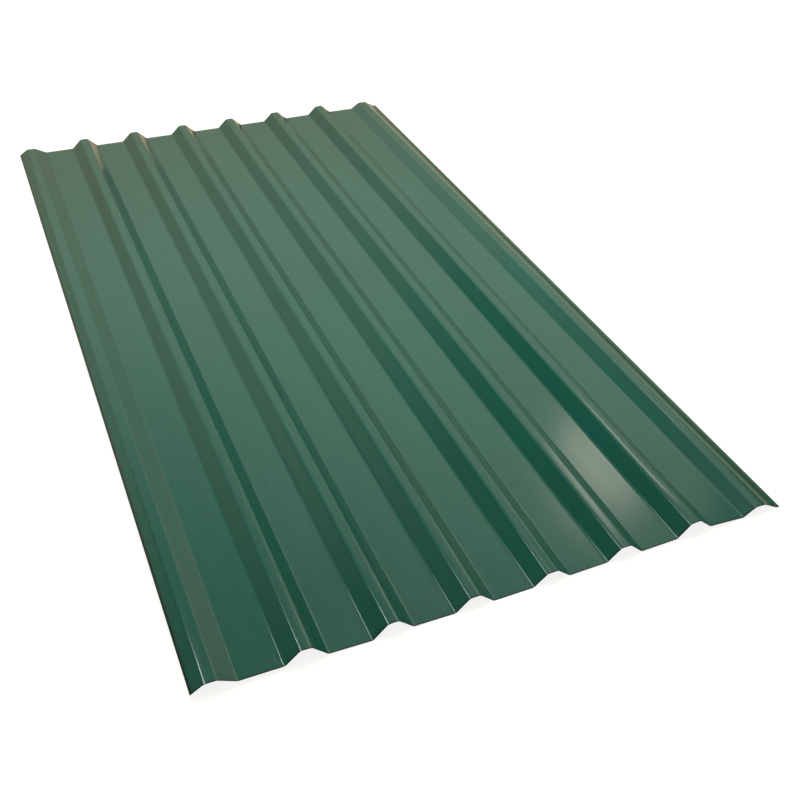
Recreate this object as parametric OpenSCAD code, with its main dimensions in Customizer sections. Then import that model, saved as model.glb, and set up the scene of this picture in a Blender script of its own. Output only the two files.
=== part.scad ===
// Profiled steel roofing sheet: one roll-formed piece with flat pans, tall
// trapezoid ribs and a lower lap rib along each side.
// Millimetres. Ribs run along Y, +Z is the weather side, and the origin is the
// middle of the footprint, level with the underside of the pans.

/* [Sheet] */
// Length along the ribs
sheet_l = 2000; // [300:10:6000]
// Thickness of the coated steel
sheet_t = 0.5; // [0.4:0.05:1.2]
// Inside radius of every bend
bend_r = 8; // [1:0.25:10]
// Width of each flat pan between two ribs
pan_w = 73; // [20:1:200]

/* [Ribs] */
// Number of full ribs between the two lap ribs
rib_count = 6; // [1:1:14]
// Depth of the profile, from the underside of the pans to the top of a rib
rib_h = 24; // [12:1:45]
// Width of the crest of a full rib
crest_w = 19; // [14:1:60]
// Horizontal run of each flank of a full rib
flank_run = 25; // [12:1:60]

/* [Lap ribs] */
// Depth of the profile at a lap rib
lap_h = 16.5; // [10:0.5:40]
// Width of the crest of a lap rib
lap_crest_w = 20; // [14:1:60]
// Horizontal run of a lap rib's left flank
lap_left_run = 25; // [12:1:60]
// Horizontal run of a lap rib's right flank
lap_right_run = 30; // [12:1:60]
// Height at which the left side is cut, so that the next sheet's pan clears it
left_cut_h = 2.5; // [1:0.5:6]
// Width of the flat lip along the right side
right_lip_w = 6; // [5:0.5:40]

/* [Hidden] */

// Straight runs that one bend is drawn with
bend_steps = 6;

// The section is drawn along the middle of the steel
pan_z = sheet_t / 2;
rib_rise = rib_h - sheet_t;
lap_rise = lap_h - sheet_t;
mid_r = bend_r + sheet_t / 2;

// Distances between the middles of neighbouring crests, from left to right
first_pitch = lap_crest_w / 2 + lap_right_run + pan_w + flank_run + crest_w / 2;
rib_pitch = crest_w + 2 * flank_run + pan_w;
last_pitch = crest_w / 2 + flank_run + pan_w + lap_left_run + lap_crest_w / 2;
cover_w = first_pitch + (rib_count - 1) * rib_pitch + last_pitch;

// The left flank is cut off short of the pan level
left_drop = lap_rise + pan_z - left_cut_h;
left_reach = lap_crest_w / 2 + lap_left_run * left_drop / lap_rise;
right_reach = lap_crest_w / 2 + lap_right_run + right_lip_w;
left_lap_x = left_reach - (left_reach + cover_w + right_reach) / 2;
right_lap_x = left_lap_x + cover_w;

// Crest and foot corners of a rib whose crest is centred on x
function crest(x, width, rise) = [[x - width / 2, pan_z + rise], [x + width / 2, pan_z + rise]];
function left_foot(x, width, run) = [x - width / 2 - run, pan_z];
function right_foot(x, width, run) = [x + width / 2 + run, pan_z];

function full_rib(x) = [
    left_foot(x, crest_w, flank_run),
    each crest(x, crest_w, rib_rise),
    right_foot(x, crest_w, flank_run)
];

// Corners of the section before bending, from the left side to the right side
section_corners = [
    [left_lap_x - left_reach, left_cut_h],
    each crest(left_lap_x, lap_crest_w, lap_rise),
    right_foot(left_lap_x, lap_crest_w, lap_right_run),
    for (i = [0 : rib_count - 1]) each full_rib(left_lap_x + first_pitch + i * rib_pitch),
    left_foot(right_lap_x, lap_crest_w, lap_left_run),
    each crest(right_lap_x, lap_crest_w, lap_rise),
    right_foot(right_lap_x, lap_crest_w, lap_right_run),
    [right_lap_x + right_reach, pan_z]
];

function heading(a, b) = atan2(b[1] - a[1], b[0] - a[0]);
function along(angle) = [cos(angle), sin(angle)];
function leftward(angle) = [-sin(angle), cos(angle)];

// One bend at corner b, on the face that lies the given offset to the left of
// the steel's middle: an arc that meets both straight runs smoothly
function bend(a, b, c, offset) =
    let (
        h0 = heading(a, b),
        turn = heading(b, c) - h0,
        side = sign(turn),
        start = b - along(h0) * mid_r * tan(abs(turn) / 2),
        centre = start + leftward(h0) * side * mid_r
    )
    [for (k = [0 : bend_steps])
        centre - leftward(h0 + turn * k / bend_steps) * (side * mid_r - offset)];

// The whole line of one face of the sheet
function face_line(corners, offset) =
    let (last = len(corners) - 1)
    [
        corners[0] + leftward(heading(corners[0], corners[1])) * offset,
        for (i = [1 : last - 1])
            each bend(corners[i - 1], corners[i], corners[i + 1], offset),
        corners[last] + leftward(heading(corners[last - 1], corners[last])) * offset
    ];

function reversed(list) = [for (i = [len(list) - 1 : -1 : 0]) list[i]];

module section() {
    polygon(concat(
        face_line(section_corners, sheet_t / 2),
        reversed(face_line(section_corners, -sheet_t / 2))
    ));
}

module roofing_sheet() {
    color([0.16, 0.36, 0.29])
        rotate([90, 0, 0])
            linear_extrude(height = sheet_l, center = true)
                section();
}

roofing_sheet();
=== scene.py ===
import math

import bpy
import numpy as np
from mathutils import Matrix, Vector


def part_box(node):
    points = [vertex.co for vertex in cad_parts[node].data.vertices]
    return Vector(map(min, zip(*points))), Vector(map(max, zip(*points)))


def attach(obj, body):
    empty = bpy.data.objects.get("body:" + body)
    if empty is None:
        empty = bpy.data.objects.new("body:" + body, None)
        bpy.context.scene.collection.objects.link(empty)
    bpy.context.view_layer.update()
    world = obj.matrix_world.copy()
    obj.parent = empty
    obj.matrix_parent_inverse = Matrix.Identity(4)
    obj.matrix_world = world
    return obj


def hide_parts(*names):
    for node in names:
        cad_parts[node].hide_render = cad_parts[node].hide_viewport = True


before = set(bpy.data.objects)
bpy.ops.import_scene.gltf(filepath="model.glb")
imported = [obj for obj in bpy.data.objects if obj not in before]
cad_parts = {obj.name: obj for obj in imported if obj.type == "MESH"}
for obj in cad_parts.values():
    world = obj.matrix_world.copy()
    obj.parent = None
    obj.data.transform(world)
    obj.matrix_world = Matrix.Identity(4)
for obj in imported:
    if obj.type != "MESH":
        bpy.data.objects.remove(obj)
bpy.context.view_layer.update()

# The CAD node that the sheet replaces, and its sizes in metres
NODE = "roofing_sheet"
low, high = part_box(NODE)
LENGTH = high.y - low.y
HALF_LENGTH = LENGTH / 2
HALF_WIDTH = (high.x - low.x) / 2
RIB_DEPTH = high.z - low.z
STEEL = 0.0005
BEND_RADIUS = 0.008
PAN = 0.073
RIBS = 6
CREST = 0.019
FLANK = 0.025
LAP_DEPTH = 0.0165
LAP_CREST = 0.020
LAP_LEFT = 0.025
LAP_RIGHT = 0.030
LEFT_CUT = 0.0025
RIGHT_LIP = 0.006

# How finely the mesh is divided
BEND_STEPS = 7
ROWS = 115
DIVISIONS = {"pan": 8, "flank": 3, "crest": 4, "lip": 2}
SUPPORT = 0.0008
SHARP_ANGLE = math.radians(40)

# How far the steel strays from its drawn shape
CREST_CROWN = 0.00015
OIL_CANNING = 0.00012
OIL_WAVES = (0.9, 1.7, 2.9)
OIL_SIZES = (0.4, 1.0)
SEED = 7

# Millimetres that both ends stand off the floor: at the left side, each crest and the right side
MILLIMETRE = 0.001
NEAR_LIFTS = (10.5, 10.5, 6.5, 1.5, 0, 0, 2, 5, 2.5, 0)
FAR_LIFTS = (0, 0, 0, 0, 0, 0, 0, 1, 1, 1)

# Millimetres that the near cut end springs from that: at each crest and at both sides of each pan
CREST_SPRING = (0, 0.7, 1.5, 0.5, -1.5, 0.5, 1.8, 0)
PAN_SPRING = ((0.3, 0.7), (-1.5, -2.3), (1, -0.3), (0, 0), (0.8, 1), (-0.8, -0.8), (4, -0.8))
SPRING_REACH = 0.2

# The view, for a square picture of this many pixels
IMAGE = 800
FOCAL_PIXELS = 1046.24
SENSOR = 36.0
CAMERA_SHIFT = -0.04895
CAMERA_PLACE = Vector((-0.6306, -1.9957, 1.2937))
CAMERA_AZIMUTH = math.radians(25.580)
CAMERA_ELEVATION = math.radians(-37.547)
CAMERA_ROLL = math.radians(2.138)
CLIP_END = 200

# Colours
PAINT_DEEP = (0.0062, 0.077, 0.0545, 1)
PAINT_LIGHT = (0.0077, 0.091, 0.0635, 1)
# Painted shade: the dark rim along the paint's cut edges
PAINT_EDGE_SHADE = (0.0015, 0.008, 0.006, 1)
BACK_COAT = (0.40, 0.40, 0.36, 1)
BACK_COAT_LIGHT = (0.47, 0.47, 0.43, 1)
CUT_STEEL = (0.07, 0.065, 0.055, 1)
CUT_STEEL_DARK = (0.02, 0.02, 0.018, 1)
WHITE = (1, 1, 1, 1)

# How often the noise of each finish repeats in a metre, along x, y and z
CLOUDS = (3, 2, 3)
PAINT_STREAKS = (140, 0.8, 140)
PEEL = (650, 650, 650)
SPECKLE = (300, 300, 300)
RIM_BREAKUP = (900, 900, 900)
BACK_STREAKS = (90, 1.2, 90)
MOTTLE = (45, 45, 45)
SHEAR_GRAIN = (700, 700, 3000)

# The range that most noise lies in, and the range that the sum of the paint's noises lies in
NOISE_LOW = 0.3
NOISE_HIGH = 0.7
SHADE_LOW = 0.7
SHADE_HIGH = 1.3
SPECKLE_SWING = 0.35

# The paint's dark rim, a painted shade along the cut edges: its width, the share of it that fades, and
# how strong its breakup is
RIM = 0.003
RIM_FADE = 0.6
RIM_BREAKUP_WEAKEST = 0.75
RIM_BREAKUP_STRONGEST = 1.0

# Gloss of the finishes, and the depth of their relief in metres
COAT_IOR = 1.5
PAINT_ROUGHNESS = (0.13, 0.165)
BACK_ROUGHNESS = (0.38, 0.52)
CUT_ROUGHNESS = (0.5, 0.7)
PEEL_DEPTH = 0.000006
MOTTLE_DEPTH = 0.00002
GRAIN_DEPTH = 0.00003

# Floor: its pale colour, and the glow that whitens it from near to far
FLOOR_SIZE = 60.0
FLOOR_BELOW = 0.0003
FLOOR_COLOUR = (0.28, 0.26, 0.21, 1)
FLOOR_GLOW_NEAR = 0.82
FLOOR_GLOW_FAR = 0.95
FLOOR_NEAR = 0.5
FLOOR_FAR = 2.5

# The floor as gloss mirrors it: painted shadow close beside the sheet and a painted warm glow further
# out
FLOOR_GLOSS_SHARE = 1.0
FLOOR_MIRRORED_NEAR = (0.03, 0.025, 0.015, 1)
FLOOR_MIRRORED_FAR = (1.05, 0.86, 0.56, 1)
FLOOR_DARK_REACH = 0.020
FLOOR_WARM_REACH = 0.055

# Studio light by the sine of the height above the horizon
STUDIO_STRENGTH = 1.0
STUDIO_STOPS = [
    (0.00, (0.40, 0.36, 0.26, 1)),
    (0.13, (0.47, 0.42, 0.30, 1)),
    (0.22, (0.56, 0.50, 0.36, 1)),
    (0.31, (0.62, 0.57, 0.41, 1)),
    (0.40, (0.75, 0.73, 0.53, 1)),
    (0.48, (0.97, 0.96, 0.78, 1)),
    (0.56, (1.05, 1.04, 0.87, 1)),
    (0.66, (1.08, 1.07, 0.91, 1)),
    (0.74, (0.68, 0.67, 0.59, 1)),
    (0.82, (0.60, 0.60, 0.54, 1)),
    (1.00, (0.78, 0.78, 0.74, 1)),
]
STUDIO_GLOSS_SHARE = 0.06

# The studio is dimmer on the camera's side, and brightens over this range of the direction's y
BACK_DIM = 0.6
BACK_RANGE = (-0.4, 0.2)

# Studio flags and pale wall: azimuth, elevation, inner and outer radius in degrees, share of light
PATCHES = [
    (-75, 10, 18, 37, 0.02),
    (-40, 36, 10, 19, 0.02),
    (0, 49, 1, 19, 0.43),
    (82, 28, 24, 32, 0.05),
    (46, 18, 2, 10, 1.20),
]

# A softbox overhead
SOFTBOX_PLACE = Vector((0.25, 0.10, 2.6))
SOFTBOX_SIZE = (2.4, 2.0)
SOFTBOX_SPREAD = math.radians(72)
SOFTBOX_ENERGY = 16.0
SOFTBOX_COLOUR = (1.0, 1.0, 0.97)

# A warm lamp that one pan mirrors, with the place and tilt of the pan there
GLINT_PLACE = Vector((0.290, -0.788, STEEL))
GLINT_TILT = math.radians(-1.2)
GLINT_DISTANCE = 4.0
GLINT_SIZE = (0.38, 0.66)
GLINT_ROLL = math.radians(42)
GLINT_ENERGY = 2.5
GLINT_COLOUR = (1.0, 0.9, 0.78)

# A small lamp that draws light lines along the bends of the near end
BEND_LAMP_PLACE = Vector((-0.63, -0.01, 1.29))
BEND_LAMP_AIM = Vector((0.0, -1.0, 0.0))
BEND_LAMP_SIZE = (0.18, 0.20)
BEND_LAMP_ENERGY = 1.9
BEND_LAMP_COLOUR = (1.0, 0.95, 0.88)

random = np.random.default_rng(SEED)


def smooth_step(start, end, value):
    share = np.clip((value - start) / (end - start), 0, 1)
    return share * share * (3 - 2 * share)


def direction(azimuth, elevation):
    """Unit vector at an azimuth from +Y towards +X and an elevation, both in radians."""
    level = math.cos(elevation)
    return Vector((math.sin(azimuth) * level, math.cos(azimuth) * level, math.sin(elevation)))


# The section across the ribs
def section_runs():
    """Straight runs of the steel's middle line, left to right: what each is, its width and its rise."""
    rise = RIB_DEPTH - STEEL
    lap_rise = LAP_DEPTH - STEEL
    left_drop = lap_rise + STEEL / 2 - LEFT_CUT
    runs = [
        ("flank", LAP_LEFT * left_drop / lap_rise, left_drop),
        ("crest", LAP_CREST, 0),
        ("flank", LAP_RIGHT, -lap_rise),
    ]
    for _ in range(RIBS):
        runs += [("pan", PAN, 0), ("flank", FLANK, rise), ("crest", CREST, 0), ("flank", FLANK, -rise)]
    runs += [
        ("pan", PAN, 0),
        ("flank", LAP_LEFT, lap_rise),
        ("crest", LAP_CREST, 0),
        ("flank", LAP_RIGHT, -lap_rise),
        ("lip", RIGHT_LIP, 0),
    ]
    return runs


class Section:
    """Points along the steel's middle line, their normals, and how far each is into a pan or crest."""

    def __init__(self):
        self.points = []
        self.normals = []
        self.pan_share = []
        self.crest_share = []
        self.pan_number = []
        self.crest_places = []
        self.pan_sides = []
        runs = section_runs()
        total = sum(width for _, width, _ in runs)
        corner = np.array([-total / 2, LEFT_CUT])
        steps = [np.array([width, rise]) for _, width, rise in runs]
        headings = [math.atan2(rise, width) for _, width, rise in runs]
        middle_radius = BEND_RADIUS + STEEL / 2
        trims = [0]
        for before, after in zip(headings, headings[1:]):
            trims.append(middle_radius * math.tan(abs(after - before) / 2))
        trims.append(0)
        pan = -1
        for i, (kind, width, _) in enumerate(runs):
            if kind == "crest":
                self.crest_places.append(corner[0] + width / 2)
            if kind == "pan":
                pan += 1
                self.pan_sides += [corner[0], corner[0] + width]
            self.add_run(kind, pan, corner, steps[i], headings[i], trims[i], trims[i + 1])
            corner = corner + steps[i]
            if i + 1 < len(runs):
                self.add_bend(pan, headings[i], headings[i + 1], middle_radius)
        self.lift_places = [-total / 2, *self.crest_places, total / 2]
        self.points = np.array(self.points)
        self.normals = np.array(self.normals)
        self.pan_share = np.array(self.pan_share)
        self.crest_share = np.array(self.crest_share)
        self.pan_number = np.array(self.pan_number)

    def add_point(self, place, heading, pan, pan_share=0.0, crest_share=0.0):
        self.points.append(place)
        self.normals.append((-math.sin(heading), math.cos(heading)))
        self.pan_share.append(pan_share)
        self.crest_share.append(crest_share)
        self.pan_number.append(max(pan, 0))

    def add_run(self, kind, pan, corner, step, heading, trim_start, trim_end):
        """Points of a straight run between its bends, with a close pair at each end."""
        length = np.linalg.norm(step)
        inner = np.linspace(trim_start, length - trim_end, DIVISIONS[kind] + 1)
        edges = [inner[0] + SUPPORT, inner[-1] - SUPPORT]
        for distance in sorted([*inner, *edges]):
            bow = 1 - (2 * distance / length - 1) ** 2
            place = corner + step * distance / length
            pan_share = bow if kind == "pan" else 0.0
            crest_share = bow if kind == "crest" else 0.0
            self.add_point(place, heading, pan, pan_share, crest_share)

    def add_bend(self, pan, before, after, radius):
        """Inner points of the arc that joins the last run to the next one."""
        side = math.copysign(1, after - before)
        start = self.points[-1]
        centre = start + side * radius * np.array([-math.sin(before), math.cos(before)])
        for k in range(1, BEND_STEPS):
            heading = before + (after - before) * k / BEND_STEPS
            place = centre - side * radius * np.array([-math.sin(heading), math.cos(heading)])
            self.add_point(place, heading, pan)


# The shape of the sheet as it lies
def rest_lift(section, y):
    """How far the sheet stands off the floor, straight from crest to crest and eased end to end."""
    x = section.points[:, 0]
    near_lift = np.interp(x, section.lift_places, NEAR_LIFTS)
    far_lift = np.interp(x, section.lift_places, FAR_LIFTS)
    far = smooth_step(-HALF_LENGTH, HALF_LENGTH, y)[:, None]
    return MILLIMETRE * (near_lift[None, :] * (1 - far) + far_lift[None, :] * far)


def oil_canning(section, y):
    """Shallow buckles that each flat pan keeps from the rolls."""
    pans = section.pan_number.max() + 1
    height = np.zeros((pans, len(y)))
    for waves in OIL_WAVES:
        phase = random.uniform(0, 2 * math.pi, pans)
        size = random.uniform(*OIL_SIZES, pans)
        turn = 2 * math.pi * waves * y[None, :] / LENGTH
        height += size[:, None] * (0.5 + 0.5 * np.sin(turn + phase[:, None]))
    height /= len(OIL_WAVES)
    return OIL_CANNING * height[section.pan_number].T * section.pan_share[None, :] ** 2


def end_spring(section, y):
    """The formed steel springs out of line at the near cut end, each crest and pan side by itself."""
    places = np.array([*section.crest_places, *section.pan_sides])
    springs = np.array([*CREST_SPRING, *np.ravel(PAN_SPRING)])
    order = np.argsort(places)
    across = np.interp(section.points[:, 0], places[order], springs[order])
    near = 1 - smooth_step(-HALF_LENGTH, SPRING_REACH - HALF_LENGTH, y)
    return MILLIMETRE * near[:, None] * across[None, :]


def sheet_vertices(section, y):
    """Two grids of points, rows by section points: the weather side and the underside."""
    middle = section.points
    rise = rest_lift(section, y) + oil_canning(section, y) + end_spring(section, y)
    rise = rise + CREST_CROWN * section.crest_share[None, :]
    grids = []
    for side in (0.5, -0.5):
        face = middle + side * STEEL * section.normals
        grid = np.empty((len(y), len(middle), 3))
        grid[:, :, 0] = face[None, :, 0]
        grid[:, :, 1] = y[:, None]
        grid[:, :, 2] = face[None, :, 1] + rise
        grids.append(grid)
    return grids


def strip_faces(first, second):
    """Quads between two lines of vertex numbers."""
    return np.stack([first[:-1], first[1:], second[1:], second[:-1]], axis=1)


def sheet_faces(rows, columns):
    """Quads of the closed sheet, with the material number of each."""
    numbers = np.arange(2 * rows * columns).reshape(2, rows, columns)
    top, under = numbers
    top_faces = np.concatenate([strip_faces(top[r], top[r + 1]) for r in range(rows - 1)])
    under_faces = np.concatenate([strip_faces(under[r + 1], under[r]) for r in range(rows - 1)])
    cut_faces = np.concatenate([
        strip_faces(under[0], top[0]),
        strip_faces(top[-1], under[-1]),
        strip_faces(top[:, 0], under[:, 0]),
        strip_faces(under[:, -1], top[:, -1]),
    ])
    faces = np.concatenate([top_faces, under_faces, cut_faces])
    materials = np.repeat([0, 1, 2], [len(top_faces), len(under_faces), len(cut_faces)])
    return faces, materials


def rim_share(section, y):
    """How close each point of a face is to a cut edge: 1 on the edge, 0 from the rim's width inwards."""
    steps = np.linalg.norm(np.diff(section.points, axis=0), axis=1)
    along = np.concatenate([[0], np.cumsum(steps)])
    from_side = np.minimum(along, along[-1] - along)
    from_end = HALF_LENGTH - np.abs(y)
    nearest = np.minimum(from_side[None, :], from_end[:, None])
    return np.clip(1 - nearest / RIM, 0, 1)


def make_sheet():
    """The sheet as one closed mesh, with rows closer together towards its ends."""
    section = Section()
    y = HALF_LENGTH * np.sin(np.linspace(-math.pi / 2, math.pi / 2, ROWS))
    grids = sheet_vertices(section, y)
    vertices = np.concatenate([grid.reshape(-1, 3) for grid in grids])
    faces, materials = sheet_faces(len(y), len(section.points))
    mesh = bpy.data.meshes.new("profiled_sheet")
    mesh.from_pydata(vertices.tolist(), [], faces.tolist())
    mesh.polygons.foreach_set("material_index", materials.astype(np.int32))
    mesh.polygons.foreach_set("use_smooth", np.ones(len(faces), dtype=bool))
    mesh.set_sharp_from_angle(angle=SHARP_ANGLE)
    rim = mesh.attributes.new("rim", "FLOAT", "POINT")
    rim.data.foreach_set("value", np.tile(rim_share(section, y).ravel(), 2).astype(np.float32))
    mesh.update()
    sheet = bpy.data.objects.new("profiled_sheet", mesh)
    bpy.context.scene.collection.objects.link(sheet)
    return sheet


# Materials
def make_node(tree, kind, values=None, **settings):
    """A new node with its settings, and each input set to a constant or linked to a socket."""
    made = tree.nodes.new(kind)
    for name, value in settings.items():
        setattr(made, name, value)
    for name, value in (values or {}).items():
        if isinstance(value, bpy.types.NodeSocket):
            tree.links.new(value, made.inputs[name])
        else:
            made.inputs[name].default_value = value
    return made


def calculate(tree, operation, first, second, clamp=False):
    values = {0: first, 1: second}
    return make_node(tree, "ShaderNodeMath", values, operation=operation, use_clamp=clamp).outputs[0]


def remap(tree, value, low_value, high_value, start=NOISE_LOW, end=NOISE_HIGH, smooth=False):
    """The value spread from its range onto another one, clamped at both ends."""
    made = make_node(tree, "ShaderNodeMapRange", {
        "Value": value,
        "From Min": start,
        "From Max": end,
        "To Min": low_value,
        "To Max": high_value,
    })
    made.interpolation_type = "SMOOTHSTEP" if smooth else "LINEAR"
    return made.outputs[0]


def noise(tree, coordinates, stretch, detail):
    """Noise between 0 and 1 that repeats about stretch times a metre along each axis."""
    scaled = make_node(tree, "ShaderNodeMapping", {"Vector": coordinates, "Scale": stretch})
    values = {"Vector": scaled.outputs[0], "Scale": 1.0, "Detail": detail}
    return make_node(tree, "ShaderNodeTexNoise", values).outputs["Fac"]


def blend_colour(tree, share, first, second):
    made = make_node(tree, "ShaderNodeMix", {0: share, 6: first, 7: second}, data_type="RGBA")
    return made.outputs[2]


def bump(tree, height, depth):
    values = {"Height": height, "Strength": 1.0, "Distance": depth}
    return make_node(tree, "ShaderNodeBump", values).outputs[0]


def new_material(name):
    material = bpy.data.materials.new(name)
    material.use_nodes = True
    material.node_tree.nodes.clear()
    return material, material.node_tree


def finish_material(tree, shader):
    make_node(tree, "ShaderNodeOutputMaterial", {"Surface": shader.outputs[0]})


def green_paint():
    """Semi-gloss stove enamel: clouds, streaks along the coil, speckle, orange peel and a dark rim of
    painted shade along the cut edges.
    """
    material, tree = new_material("moss_green_enamel")
    place = make_node(tree, "ShaderNodeTexCoord").outputs["Object"]
    clouds = noise(tree, place, CLOUDS, detail=3.0)
    streaks = noise(tree, place, PAINT_STREAKS, detail=3.0)
    peel = noise(tree, place, PEEL, detail=1.0)
    speckle = remap(tree, noise(tree, place, SPECKLE, detail=1.0), -SPECKLE_SWING, SPECKLE_SWING)
    shade = calculate(tree, "ADD", calculate(tree, "ADD", clouds, streaks), speckle)
    shade = remap(tree, shade, 0, 1, SHADE_LOW, SHADE_HIGH)
    colour = blend_colour(tree, shade, PAINT_DEEP, PAINT_LIGHT)
    # Painted shade: the paint darkens to a dark rim along the cut edges, broken up by noise
    rim = make_node(tree, "ShaderNodeAttribute", attribute_name="rim").outputs["Fac"]
    fade = remap(tree, rim, 0, 1, 0.0, RIM_FADE)
    rim_breakup = remap(tree, noise(tree, place, RIM_BREAKUP, detail=2.0), RIM_BREAKUP_WEAKEST, RIM_BREAKUP_STRONGEST)
    colour = blend_colour(tree, calculate(tree, "MULTIPLY", fade, rim_breakup), colour, PAINT_EDGE_SHADE)
    shader = make_node(tree, "ShaderNodeBsdfPrincipled", {
        "Base Color": colour,
        "Roughness": remap(tree, streaks, *PAINT_ROUGHNESS),
        "IOR": COAT_IOR,
        "Normal": bump(tree, peel, PEEL_DEPTH),
    })
    finish_material(tree, shader)
    return material


def back_coat():
    """Thin grey backing lacquer on the underside, mottled and streaked along the coil."""
    material, tree = new_material("grey_backing_lacquer")
    place = make_node(tree, "ShaderNodeTexCoord").outputs["Object"]
    streaks = noise(tree, place, BACK_STREAKS, detail=3.0)
    mottle = noise(tree, place, MOTTLE, detail=4.0)
    colour = blend_colour(tree, remap(tree, streaks, 0, 1), BACK_COAT, BACK_COAT_LIGHT)
    shader = make_node(tree, "ShaderNodeBsdfPrincipled", {
        "Base Color": colour,
        "Roughness": remap(tree, mottle, *BACK_ROUGHNESS),
        "IOR": COAT_IOR,
        "Normal": bump(tree, mottle, MOTTLE_DEPTH),
    })
    finish_material(tree, shader)
    return material


def cut_steel():
    """Bare sheared edge: torn dark steel with brighter zinc in places."""
    material, tree = new_material("sheared_galvanised_edge")
    place = make_node(tree, "ShaderNodeTexCoord").outputs["Object"]
    grain = noise(tree, place, SHEAR_GRAIN, detail=3.0)
    colour = blend_colour(tree, remap(tree, grain, 0, 1), CUT_STEEL_DARK, CUT_STEEL)
    shader = make_node(tree, "ShaderNodeBsdfPrincipled", {
        "Base Color": colour,
        "Metallic": 1.0,
        "Roughness": remap(tree, grain, *CUT_ROUGHNESS),
        "Normal": bump(tree, grain, GRAIN_DEPTH),
    })
    finish_material(tree, shader)
    return material


# Floor, light and camera
def background_share(tree, path, gloss_share):
    """How much of the plain white is seen: all of it by the camera, and a share of it in gloss."""
    camera = path.outputs["Is Camera Ray"]
    direct = calculate(tree, "ADD", camera, path.outputs["Is Transmission Ray"], clamp=True)
    mirrored = calculate(tree, "MULTIPLY", path.outputs["Is Glossy Ray"], gloss_share)
    return calculate(tree, "ADD", direct, mirrored, clamp=True)


def mirrored_floor(tree, place):
    """The floor's colour in gloss, by how far out from the sheet's sides and ends it lies: painted
    shadow close by, a painted warm glow beyond.
    """
    parts = make_node(tree, "ShaderNodeSeparateXYZ", {0: place})
    beside = calculate(tree, "ABSOLUTE", parts.outputs["X"], 0)
    beyond = calculate(tree, "ABSOLUTE", parts.outputs["Y"], 0)
    beside = calculate(tree, "SUBTRACT", beside, HALF_WIDTH)
    beyond = calculate(tree, "SUBTRACT", beyond, HALF_LENGTH)
    outward = calculate(tree, "MAXIMUM", beside, beyond)
    # Painted shadow beside the sheet and a painted warm glow further out, seen only in gloss
    clear = remap(tree, outward, 0, 1, FLOOR_DARK_REACH, FLOOR_WARM_REACH, smooth=True)
    return blend_colour(tree, clear, FLOOR_MIRRORED_NEAR, FLOOR_MIRRORED_FAR)


def white_floor():
    """A matte floor that also glows, of which gloss sees the glow alone."""
    material, tree = new_material("white_floor")
    place = make_node(tree, "ShaderNodeTexCoord").outputs["Object"]
    path = make_node(tree, "ShaderNodeLightPath")
    glossy = path.outputs["Is Glossy Ray"]
    away = make_node(tree, "ShaderNodeVectorMath", {0: place}, operation="LENGTH").outputs["Value"]
    glow = remap(tree, away, FLOOR_GLOW_NEAR, FLOOR_GLOW_FAR, FLOOR_NEAR, FLOOR_FAR, smooth=True)
    glow = calculate(tree, "MULTIPLY", glow, background_share(tree, path, FLOOR_GLOSS_SHARE))
    tint = blend_colour(tree, glossy, WHITE, mirrored_floor(tree, place))
    matte = make_node(tree, "ShaderNodeBsdfDiffuse", {"Color": FLOOR_COLOUR}).outputs[0]
    light = make_node(tree, "ShaderNodeEmission", {"Color": tint, "Strength": glow}).outputs[0]
    both = make_node(tree, "ShaderNodeAddShader", {0: matte, 1: light}).outputs[0]
    finish_material(tree, make_node(tree, "ShaderNodeMixShader", {0: glossy, 1: both, 2: light}))
    return material


def make_floor():
    half = FLOOR_SIZE / 2
    corners = [(-half, -half), (half, -half), (half, half), (-half, half)]
    mesh = bpy.data.meshes.new("floor")
    mesh.from_pydata([(x, y, -FLOOR_BELOW) for x, y in corners], [], [(0, 1, 2, 3)])
    mesh.materials.append(white_floor())
    floor = bpy.data.objects.new("floor", mesh)
    bpy.context.scene.collection.objects.link(floor)


def studio_colour(tree, height):
    sky = make_node(tree, "ShaderNodeValToRGB", {"Fac": height})
    stops = sky.color_ramp.elements
    stops[0].position, stops[0].color = STUDIO_STOPS[0]
    stops[1].position, stops[1].color = STUDIO_STOPS[-1]
    for position, colour in STUDIO_STOPS[1:-1]:
        stops.new(position).color = colour
    return sky.outputs[0]


def make_world():
    """A soft studio with its dark flags and pale wall, plain white where the camera sees it."""
    world = bpy.data.worlds.new("studio")
    world.use_nodes = True
    tree = world.node_tree
    tree.nodes.clear()
    toward = make_node(tree, "ShaderNodeTexCoord").outputs["Generated"]
    parts = make_node(tree, "ShaderNodeSeparateXYZ", {0: toward})
    dim = BACK_DIM * STUDIO_STRENGTH
    strength = remap(tree, parts.outputs["Y"], dim, STUDIO_STRENGTH, *BACK_RANGE, smooth=True)
    for azimuth, elevation, inner, outer, share in PATCHES:
        middle = direction(math.radians(azimuth), math.radians(elevation))
        facing = make_node(tree, "ShaderNodeVectorMath", {0: toward, 1: middle}, operation="DOT_PRODUCT")
        edge = math.cos(math.radians(outer))
        full = math.cos(math.radians(inner))
        light = remap(tree, facing.outputs["Value"], 1, share, edge, full, smooth=True)
        strength = calculate(tree, "MULTIPLY", strength, light)
    colour = studio_colour(tree, parts.outputs["Z"])
    studio = make_node(tree, "ShaderNodeBackground", {"Color": colour, "Strength": strength})
    white = make_node(tree, "ShaderNodeBackground", {"Color": WHITE, "Strength": 1.0})
    seen = background_share(tree, make_node(tree, "ShaderNodeLightPath"), STUDIO_GLOSS_SHARE)
    both = make_node(tree, "ShaderNodeMixShader", {0: seen, 1: studio.outputs[0], 2: white.outputs[0]})
    make_node(tree, "ShaderNodeOutputWorld", {"Surface": both.outputs[0]})
    bpy.context.scene.world = world


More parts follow.
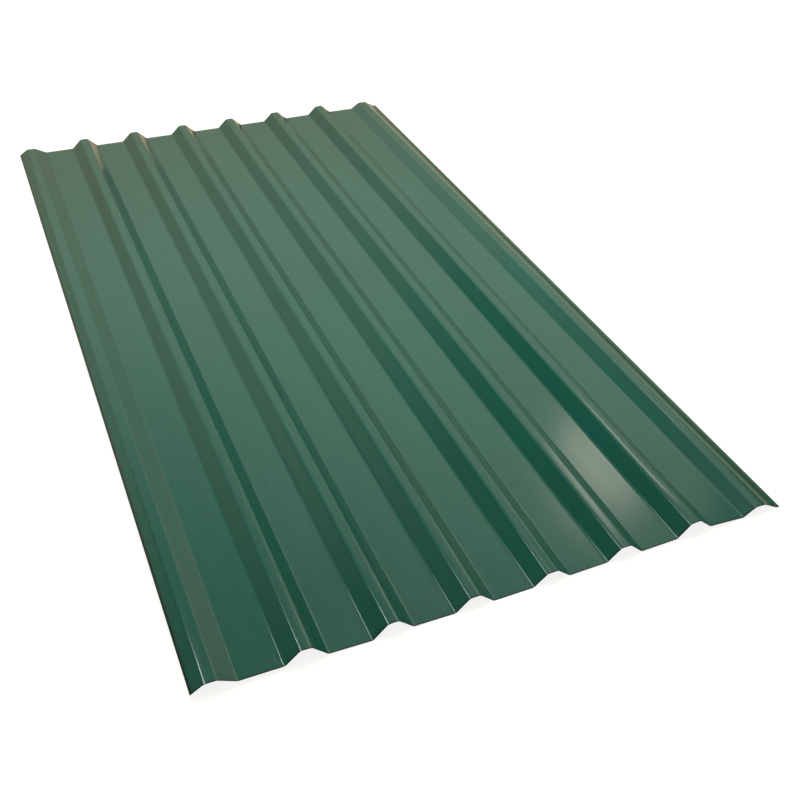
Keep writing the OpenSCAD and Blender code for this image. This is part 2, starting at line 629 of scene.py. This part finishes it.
def make_lamp(name, place, aim, shape, size, energy, colour, spread=math.pi, roll=0.0):
    """An area lamp that the camera doesn't see."""
    light = bpy.data.lights.new(name, "AREA")
    light.shape = shape
    light.size, light.size_y = size
    light.energy = energy
    light.color = colour
    light.spread = spread
    lamp = bpy.data.objects.new(name, light)
    lamp.location = place
    lamp.rotation_euler = (aim - place).to_track_quat("-Z", "Y").to_euler()
    lamp.rotation_euler.rotate_axis("Z", roll)
    lamp.visible_camera = False
    bpy.context.scene.collection.objects.link(lamp)


def make_lamps():
    """The softbox, the glint lamp where its tilted pan mirrors it to the camera, and the bend lamp."""
    below = Vector((SOFTBOX_PLACE.x, SOFTBOX_PLACE.y, 0))
    make_lamp(
        "softbox", SOFTBOX_PLACE, below, "RECTANGLE",
        SOFTBOX_SIZE, SOFTBOX_ENERGY, SOFTBOX_COLOUR, spread=SOFTBOX_SPREAD)
    view = (GLINT_PLACE - CAMERA_PLACE).normalized()
    normal = Vector((math.sin(GLINT_TILT), 0, math.cos(GLINT_TILT)))
    mirrored = view - 2 * view.dot(normal) * normal
    stand = GLINT_PLACE + mirrored * GLINT_DISTANCE
    make_lamp(
        "glint_lamp", stand, GLINT_PLACE, "ELLIPSE",
        GLINT_SIZE, GLINT_ENERGY, GLINT_COLOUR, roll=GLINT_ROLL)
    make_lamp(
        "bend_lamp", BEND_LAMP_PLACE, BEND_LAMP_AIM, "ELLIPSE",
        BEND_LAMP_SIZE, BEND_LAMP_ENERGY, BEND_LAMP_COLOUR)


def make_camera():
    data = bpy.data.cameras.new("camera")
    data.sensor_fit = "HORIZONTAL"
    data.sensor_width = SENSOR
    data.lens = FOCAL_PIXELS / IMAGE * SENSOR
    data.shift_x = CAMERA_SHIFT
    data.clip_end = CLIP_END
    forward = direction(CAMERA_AZIMUTH, CAMERA_ELEVATION)
    level_right = forward.cross(Vector((0, 0, 1))).normalized()
    level_up = level_right.cross(forward)
    right = level_right * math.cos(CAMERA_ROLL) + level_up * math.sin(CAMERA_ROLL)
    up = right.cross(forward)
    turn = Matrix((right, up, -forward)).transposed()
    camera = bpy.data.objects.new("camera", data)
    camera.matrix_world = Matrix.Translation(CAMERA_PLACE) @ turn.to_4x4()
    bpy.context.scene.collection.objects.link(camera)
    bpy.context.scene.camera = camera


sheet = make_sheet()
for material in (green_paint(), back_coat(), cut_steel()):
    sheet.data.materials.append(material)
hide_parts(NODE)
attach(sheet, "root")

make_floor()
make_world()
make_lamps()
make_camera()
bpy.context.scene.view_settings.view_transform = "Standard"
